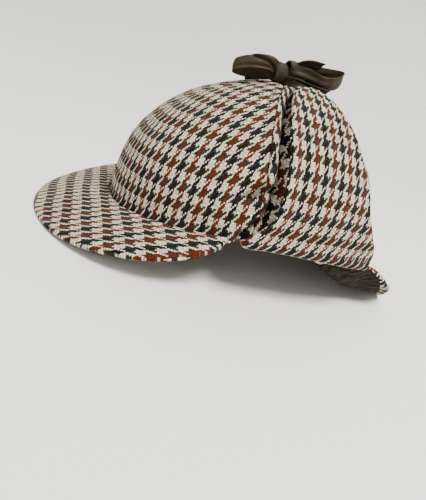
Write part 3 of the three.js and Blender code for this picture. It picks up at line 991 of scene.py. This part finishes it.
@dataclass
class EarFlap:
    """A doubled flap, folded up from the crown's lower edge and lying against the crown.

    Attributes:
        name: the piece's name.
        tweed: its cloth.
        side: 1 on the left and -1 on the right.
        reach: the share of the left flap's angle that it climbs.
        skew: how far forward its tip lies of the left flap's.
        thickness: its thickness, with both layers.
        roll: radius of the fold at its lower edge.
        clear: its clearance from the crown.
        drop: how far the fold hangs below the crown's edge at the side.
        sag: how much lower it hangs at its rear end.
        sag_at: where along the hat it begins to hang lower, and where it is lowest.
        grown: the smooth dome that it lies on where the crown leaves it room.
        lip: how far its front edge is rolled outward.
        tuck: how far its front edge is drawn in near the tip.
        wave: height of its long waves.
        ripple: height of its short ones.
        roll_turn: how far the fold turns under.
    """

    name: str
    tweed: bpy.types.Material
    side: float
    reach: float = 1.0
    skew: float = 0.0
    thickness: float = 5.4 * MM
    roll: float = 5.0 * MM
    clear: float = 2.1 * MM
    drop: float = 6 * MM
    sag: float = 6.5 * MM
    sag_at: tuple[float, float] = (9 * MM, 78 * MM)
    grown: Room = (126 * MM, 94 * MM, 96.5 * MM, 9 * MM, 0.0)
    lip: float = 3.0 * MM
    tuck: float = 3.0 * MM
    wave: float = 1.6 * MM
    ripple: float = 0.6 * MM
    roll_turn: float = math.radians(118)

    def surface(self, s: float, place: float) -> Vector:
        """A point of the flap's outer side above its fold."""
        angle, front, rear, push = (table(FLAP_ROWS, place, c) for c in (1, 2, 3, 4))
        y = lerp(front, rear, s) * FLAP_WIDTH - self.skew * (angle / FLAP_TIP_ANGLE) ** 2
        climb = math.radians(angle) * self.reach
        nearest = DOME.radius(y, climb, DOME.room()) + self.clear
        radius = max(DOME.radius(y, climb, self.grown), nearest + self.thickness)
        radius += push * FLAP_WIDTH * s * s
        radius += self.lip * bell(s, 0.05, 0.07) * (1 - smoothstep(place, 7, 10))
        radius -= self.tuck * bell(s, 0.0, 0.3) * smoothstep(place, 8.5, 11)
        wave = noise.noise(Vector((y * 20, climb * 2.4, 4.0 + self.side))) * self.wave
        wave += noise.noise(Vector((y * 55, climb * 4.0, 14.0 + self.side))) * self.ripple
        radius += wave * smoothstep(place, 1, 3)
        return Vector((radius * math.cos(climb), y, radius * math.sin(climb)))

    def fold(self, at: Vector) -> float:
        """Height of the fold under a point of the flap."""
        start, end = self.sag_at
        return -self.drop - self.sag * clamp((at.y - start) / (end - start)) ** 1.5

    def point(self, s: float, t: float) -> Vector:
        """A point of the flap, from the end of the rolled fold to the tip."""
        place = t * len(FLAP_ROWS) - 1
        if place >= 1:
            return self.surface(s, place)
        at = self.surface(s, 1)
        low = self.fold(at) + self.roll
        if place >= 0:
            above = Vector((at.x, at.y, max(at.z, low)))
            below = Vector((at.x, at.y, low))
            return below.lerp(above, place)
        turn = -place * self.roll_turn
        return Vector((at.x - self.roll * (1 - math.cos(turn)), at.y, low - self.roll * math.sin(turn)))

    def build(self) -> bpy.types.Object:
        """Make the flap."""
        marks = 120
        chain = [self.point(0.45, k / marks) for k in range(marks + 1)]
        heights = [0.0]
        for a, b in zip(chain, chain[1:]):
            heights.append(heights[-1] + (b - a).length)

        def cloth(s: float, t: float) -> tuple[float, float]:
            x = t * marks
            k = min(int(x), marks - 1)
            v = lerp(heights[k], heights[k + 1], x - k)
            at = self.point(s, t)
            bend = 10 * MM * (1 - smoothstep(v, 0.0, 38 * MM))
            return (-(at.y + bend) + 4 * MM, v)

        panel = Panel(
            self.name, self.point, cloth, self.tweed, "tweed", (self.name,), self.thickness,
            52, 78, mirror=self.side < 0, padded=True,
        )
        return panel.build()


@dataclass(frozen=True)
class Stop:
    """A place on a ribbon in millimetres, the direction of its width there, and that width."""

    at: tuple[float, float, float]
    wide: tuple[float, float, float]
    width: float = 12.0


def along(stops: Sequence[Stop], t: float) -> tuple[Vector, Vector, float]:
    """Place, width direction and width at a share of a ribbon's length, on a smooth curve."""
    last = len(stops) - 1
    x = clamp(t) * last
    k = min(int(x), last - 1)
    f = x - k
    near = [stops[clamp_index(k + d, last)] for d in (-1, 0, 1, 2)]

    def spline(values: list[float]) -> float:
        a, b, c, d = values
        square, cube = 2 * a - 5 * b + 4 * c - d, 3 * b - a - 3 * c + d
        return 0.5 * (2 * b + (c - a) * f + square * f * f + cube * f**3)

    at = Vector([spline([stop.at[i] for stop in near]) for i in range(3)]) * MM
    wide = Vector([spline([stop.wide[i] for stop in near]) for i in range(3)])
    return at, wide.normalized(), spline([stop.width for stop in near]) * MM


def clamp_index(k: int, last: int) -> int:
    """Keep an index inside a list."""
    return max(0, min(last, k))


@dataclass(frozen=True)
class Crease:
    """A crease between two places on a ribbon, each a share along it and across it, and its depth in mm."""

    start: tuple[float, float]
    end: tuple[float, float]
    depth: float
    width: float = 0.13

    def at(self, s: float, t: float) -> float:
        """Depth of the crease at a place on the ribbon, in metres."""
        share = (t - self.start[0]) / (self.end[0] - self.start[0])
        fade = smoothstep(share, -0.15, 0.1) * (1 - smoothstep(share, 0.9, 1.15))
        return self.depth * MM * bell(s, lerp(self.start[1], self.end[1], share), self.width) * fade


@dataclass
class Ribbon:
    """A length of ribbon on a smooth path.

    Attributes:
        name: the piece's name.
        cloth: its finish.
        stops: places on its path.
        steps: grid steps along it.
        thickness: its thickness.
        cup: how far its middle stands above its edges.
        creases: the creases in it.
    """

    name: str
    cloth: bpy.types.Material
    stops: tuple[Stop, ...]
    steps: int = 40
    thickness: float = 0.9 * MM
    cup: float = 0.0
    creases: tuple[Crease, ...] = ()

    def point(self, s: float, t: float) -> Vector:
        """A point of the ribbon's outer side."""
        at, wide, width = along(self.stops, t)
        ahead = along(self.stops, min(1.0, t + 0.01))[0] - along(self.stops, max(0.0, t - 0.01))[0]
        ahead.normalize()
        side = (wide - ahead * wide.dot(ahead)).normalized()
        out = side.cross(ahead)
        bow = self.cup * (1 - (2 * s - 1) ** 2)
        bow += noise.noise(at * 60 + Vector((s * 2, 0, 7))) * 0.9 * MM
        bow -= sum(crease.at(s, t) for crease in self.creases)
        return at + side * (s - 0.5) * width + out * (self.thickness / 2 + bow)

    def build(self) -> bpy.types.Object:
        """Make the ribbon."""
        chain = [along(self.stops, k / 60)[0] for k in range(61)]
        total = sum((b - a).length for a, b in zip(chain, chain[1:]))
        width = max(stop.width for stop in self.stops) * MM
        panel = Panel(
            self.name, self.point, lambda s, t: ((s - 0.5) * width, t * total), self.cloth,
            "ribbon", (self.name,), self.thickness, 22, self.steps, held="folded",
        )
        return panel.build()


@dataclass
class Bow:
    """The bow on top, its knot, its tails and the ribbons that hold the flaps."""

    cloth: bpy.types.Material

    def ribbons(self) -> list[Ribbon]:
        """All the bands, with their paths in the frame of the upright hat."""
        return [
            Ribbon("bow_loop_front", self.cloth, (
                Stop((1.5, -4.5, 98.9), (-0.2, 0, 1), 8),
                Stop((4.0, -13, 101.0), (-0.3, 0, 1), 10),
                Stop((3.8, -25, 98.8), (-0.35, 0, 1), 9.5),
                Stop((1.0, -35, 94.4), (-0.3, 0, 1), 8.5),
                Stop((-3.8, -35.5, 91.2), (-0.1, 0, 1), 8.5),
                Stop((-4.6, -25, 91.9), (0.25, 0, 1), 11),
                Stop((-4.0, -13, 93.4), (0.2, 0, 1), 10.5),
                Stop((-1.5, -4.5, 95.6), (-0.1, 0, 1), 8.5),
            ), 90, creases=(
                Crease((0.03, 0.2), (0.3, 0.95), 2.8), Crease((0.04, 0.1), (0.45, 0.3), 0.9),
            ), cup=0.6 * MM),
            Ribbon("bow_loop_rear", self.cloth, (
                Stop((2.5, 4.5, 99.8), (-0.1, 0, 1), 8.5),
                Stop((7.0, 16, 100.4), (0.5, 0, 0.87), 11),
                Stop((9.0, 29, 98.6), (0.62, 0, 0.78), 11),
                Stop((6.5, 41, 101.6), (0.3, 0, 0.95), 11),
                Stop((0.5, 46.3, 105.6), (-0.05, 0, 1), 10),
                Stop((-5.5, 39, 104.6), (-0.3, 0, 0.95), 11),
                Stop((-5.0, 26, 102.6), (-0.2, 0, 1), 11.5),
                Stop((-2.8, 12, 102.0), (-0.2, 0, 1), 10.5),
                Stop((-1.5, 4.5, 99.8), (-0.3, 0, 1), 8.5),
            ), 110, creases=(
                Crease((0.03, 0.4), (0.32, 0.62), 2.2), Crease((0.62, 0.5), (0.96, 0.4), 1.4),
            ), cup=-0.8 * MM),
            Ribbon("bow_tail_upper", self.cloth, (
                Stop((-1.5, 4.5, 103.0), (0.95, 0, 0.3), 8),
                Stop((-2, 11, 106.4), (0.9, 0, 0.35), 10.5),
                Stop((-2, 19, 108.6), (0.9, 0, 0.35), 11),
                Stop((-2, 29, 108.9), (0.85, 0, 0.5), 11.5),
            ), 30, creases=(Crease((0.1, 0.5), (0.95, 0.4), 1.6),)),
            Ribbon("bow_tail_lower", self.cloth, (
                Stop((2.5, 3.2, 94.4), (0.9, 0, 0.3), 8),
                Stop((6.0, 12, 94.6), (0.87, 0, 0.4), 10),
                Stop((8.0, 22, 93.6), (0.87, 0, 0.4), 11),
                Stop((8.5, 35, 92.6), (0.87, 0, 0.4), 11.5),
            ), 34, creases=(Crease((0.1, 0.6), (0.95, 0.5), 1.0),)),
            Ribbon("ribbon_left", self.cloth, (
                Stop((0.5, 0.5, 94.6), (-0.2, 0, 1), 9),
                Stop((4.8, 6.5, 94.4), (-0.3, 0.1, 0.95), 10),
                Stop((8.8, 10.5, 92.9), (-0.4, 0.5, 0.75), 10.5),
                Stop((12.5, 13, 91.4), (-0.4, 0.85, 0.3), 11),
                Stop((21, 16.5, 91.4), (-0.3, 0.95, 0), 11),
            ), 40, creases=(Crease((0.0, 0.4), (0.4, 0.55), 1.4),)),
            Ribbon("ribbon_right", self.cloth, (
                Stop((-50.5, -3, 81.8), (-0.1, -0.98, 0), 12),
                Stop((-43, -7, 86.0), (-0.2, -0.98, 0), 12.5),
                Stop((-31, -12, 89.5), (-0.3, -0.95, 0), 12.5),
                Stop((-17, -11, 92.4), (-0.3, -0.9, 0.3), 12),
                Stop((-3, -3, 94.5), (-0.3, -0.6, 0.75), 9),
            ), 40, creases=(Crease((0.5, 0.5), (0.95, 0.4), 1.4),)),
        ]

    def wrap(self, name: str, nodes: tuple[str, ...], middle: Vector, size: Vector, lean: float) -> None:
        """A turn of ribbon round the middle of the bow.

        Args:
            name: the piece's name.
            nodes: the CAD nodes that it replaces.
            middle: the middle of the turn, in millimetres.
            size: half its width across the hat, half its length along it, and half its height.
            lean: how far it is turned about the line that runs up, in radians.
        """
        start, end = -0.35, math.tau + 0.12

        def point(s: float, t: float) -> Vector:
            angle = lerp(start, end, t)
            lengthwise = 2 * s - 1
            pinch = 0.72 + 0.28 * math.sqrt(max(0.0, 1 - abs(lengthwise) ** 2.4))
            loose = 1.0 - 0.03 * t
            x = size.x * pinch * loose * math.sin(angle)
            z = size.z * pinch * loose * math.cos(angle)
            y = size.y * lengthwise * (0.86 + 0.14 * math.cos(angle))
            crumple = noise.noise(Vector((x * 0.25, y * 0.35, z * 0.25 + middle.y))) * 0.8
            c, d = math.cos(lean), math.sin(lean)
            spin = Vector((x * c - y * d, x * d + y * c, z))
            return (middle + spin * (1 + 0.12 * crumple)) * MM

        round_it = math.pi * (size.x + size.z) * MM
        panel = Panel(
            name, point, lambda s, t: (s * 2 * size.y * MM, t * round_it), self.cloth, "ribbon",
            nodes, 0.9 * MM, 16, 48, held="folded",
        )
        panel.build()

    def build(self) -> None:
        """Make the bow."""
        for ribbon in self.ribbons():
            ribbon.build()
        self.wrap("bow_knot", ("bow_knot",), Vector((-0.3, -2.2, 96.0)), Vector((5.0, 5.2, 6.8)), 0.1)
        self.wrap("bow_knot_second", (), Vector((0.2, 6.0, 102.2)), Vector((3.6, 4.6, 4.0)), 0.35)


@dataclass(frozen=True)
class Studio:
    """The camera, the pale floor that curves up all round, and the lights.

    Attributes:
        camera_at: where the camera stands.
        right: the direction to the right in its picture.
        up: the direction up in its picture.
        back: the direction from the hat back to the camera.
        lens: its focal length, in millimetres.
        floor_radius: radius of the floor's level part.
        cove: radius of the curve from the floor up into the wall.
        wall: height of the wall above that curve.
        cove_steps: steps up that curve.
        spin_steps: steps round the floor.
    """

    camera_at: tuple[float, float, float] = (0.33094, -0.14002, 0.13939)
    right: tuple[float, float, float] = (0.22378, 0.91572, 0.33374)
    up: tuple[float, float, float] = (-0.46877, -0.19909, 0.86059)
    back: tuple[float, float, float] = (0.8545, -0.34903, 0.38471)
    floor_radius: float = 0.8
    cove: float = 2.6
    wall: float = 0.6
    cove_steps: int = 12
    spin_steps: int = 96
    lens: float = 32.4

    def camera(self) -> None:
        """Stand the camera where the photograph was taken from."""
        data = bpy.data.cameras.new("camera")
        data.lens = self.lens
        data.sensor_width = 36.0
        data.clip_start = 0.01
        camera = bpy.data.objects.new("camera", data)
        turned = Matrix((self.right, self.up, self.back)).transposed().to_4x4()
        turned.translation = Vector(self.camera_at)
        camera.matrix_world = turned
        bpy.context.scene.collection.objects.link(camera)
        bpy.context.scene.camera = camera

    def floor(self) -> None:
        """A round floor that curves up into a wall, made by spinning its profile."""
        g = Graph("floor")
        shade = g.math("MULTIPLY_ADD", g.noise(3.0, 2.0), 0.02, 0.99)
        tint = g.node("ShaderNodeCombineColor")
        for socket, level in zip(tint.inputs[:3], (0.80, 0.795, 0.775)):
            g.put(socket, g.math("MULTIPLY", shade, level))
        g.put(g.shader.inputs["Base Color"], tint.outputs[0])
        g.shader.inputs["Roughness"].default_value = 0.9
        bm = bmesh.new()
        profile = [Vector((0.001, 0, 0)), Vector((self.floor_radius, 0, 0))]
        for k in range(1, self.cove_steps + 1):
            angle = math.pi / 2 * k / self.cove_steps
            profile.append(Vector((
                self.floor_radius + self.cove * math.sin(angle), 0, self.cove * (1 - math.cos(angle)),
            )))
        profile.append(profile[-1] + Vector((0, 0, self.wall)))
        verts = [bm.verts.new(p) for p in profile]
        edges = [bm.edges.new(pair) for pair in zip(verts, verts[1:])]
        bmesh.ops.spin(
            bm, geom=verts + edges, cent=(0, 0, 0), axis=(0, 0, 1), angle=math.tau, steps=self.spin_steps,
            use_merge=True,
        )
        bmesh.ops.recalc_face_normals(bm, faces=bm.faces[:])
        mesh = bpy.data.meshes.new("floor")
        for face in bm.faces:
            face.smooth = True
        bm.to_mesh(mesh)
        bm.free()
        mesh.materials.append(g.material)
        floor = bpy.data.objects.new("floor", mesh)
        bpy.context.scene.collection.objects.link(floor)

    def light(self, name: str, at: Vector, size: float, watts: float, colour: Colour = (1, 1, 1)) -> None:
        """Add one soft square light that faces the hat."""
        data = bpy.data.lights.new(name, "AREA")
        data.size = size
        data.energy = watts
        data.color = colour
        lamp = bpy.data.objects.new(name, data)
        lamp.location = at
        lamp.rotation_euler = (at - Vector((0, 0, 0.07))).to_track_quat("Z", "Y").to_euler()
        bpy.context.scene.collection.objects.link(lamp)

    def build(self) -> None:
        """Make the whole studio."""
        self.camera()
        self.floor()
        self.light("key", Vector((0.95, 0.4, 2.4)), 1.0, 88.0, (1.0, 0.985, 0.96))
        self.light("fill", Vector((1.5, -1.5, 1.3)), 1.6, 13.0, (0.96, 0.98, 1.0))
        self.light("back", Vector((-1.5, 1.2, 2.1)), 1.6, 18.0)
        world = bpy.data.worlds.new("studio")
        world.use_nodes = True
        world.node_tree.nodes["Background"].inputs[0].default_value = (0.93, 0.95, 1.0, 1)
        world.node_tree.nodes["Background"].inputs[1].default_value = 0.24
        bpy.context.scene.world = world
        bpy.context.scene.view_settings.look = "AgX - Medium High Contrast"


def main() -> None:
    """Build the studio and the hat's sub-assemblies in order."""
    logging.basicConfig(level=logging.INFO, format="%(name)s: %(message)s")
    Studio().build()
    tweed = Tweed().make()
    lining = QuiltedLining().make()
    ribbon = CottonRibbon().make()
    Crown(tweed).build()
    front = Peak(
        "front_peak", tweed, 55 * MM, ((0, 18.5, 18.5), (0.6, 22, 22), (1, 25, 25)), 0.5, 0.4,
    )
    front.build()
    rear = Peak(
        "rear_peak", tweed, 57 * MM,
        ((0, 36, 34), (0.3, 44, 26), (0.5, 58, -18), (0.68, 70, -76), (1, 74, -82)), 0.85, 0.5, rear=True,
    )
    rear.build()
    rear.lining(lining)
    EarFlap("ear_flap_left", tweed, 1.0).build()
    EarFlap("ear_flap_right", tweed, -1.0, reach=RIGHT_REACH, skew=RIGHT_SKEW).build()
    Bow(ribbon).build()


if __name__ == "__main__":
    main()
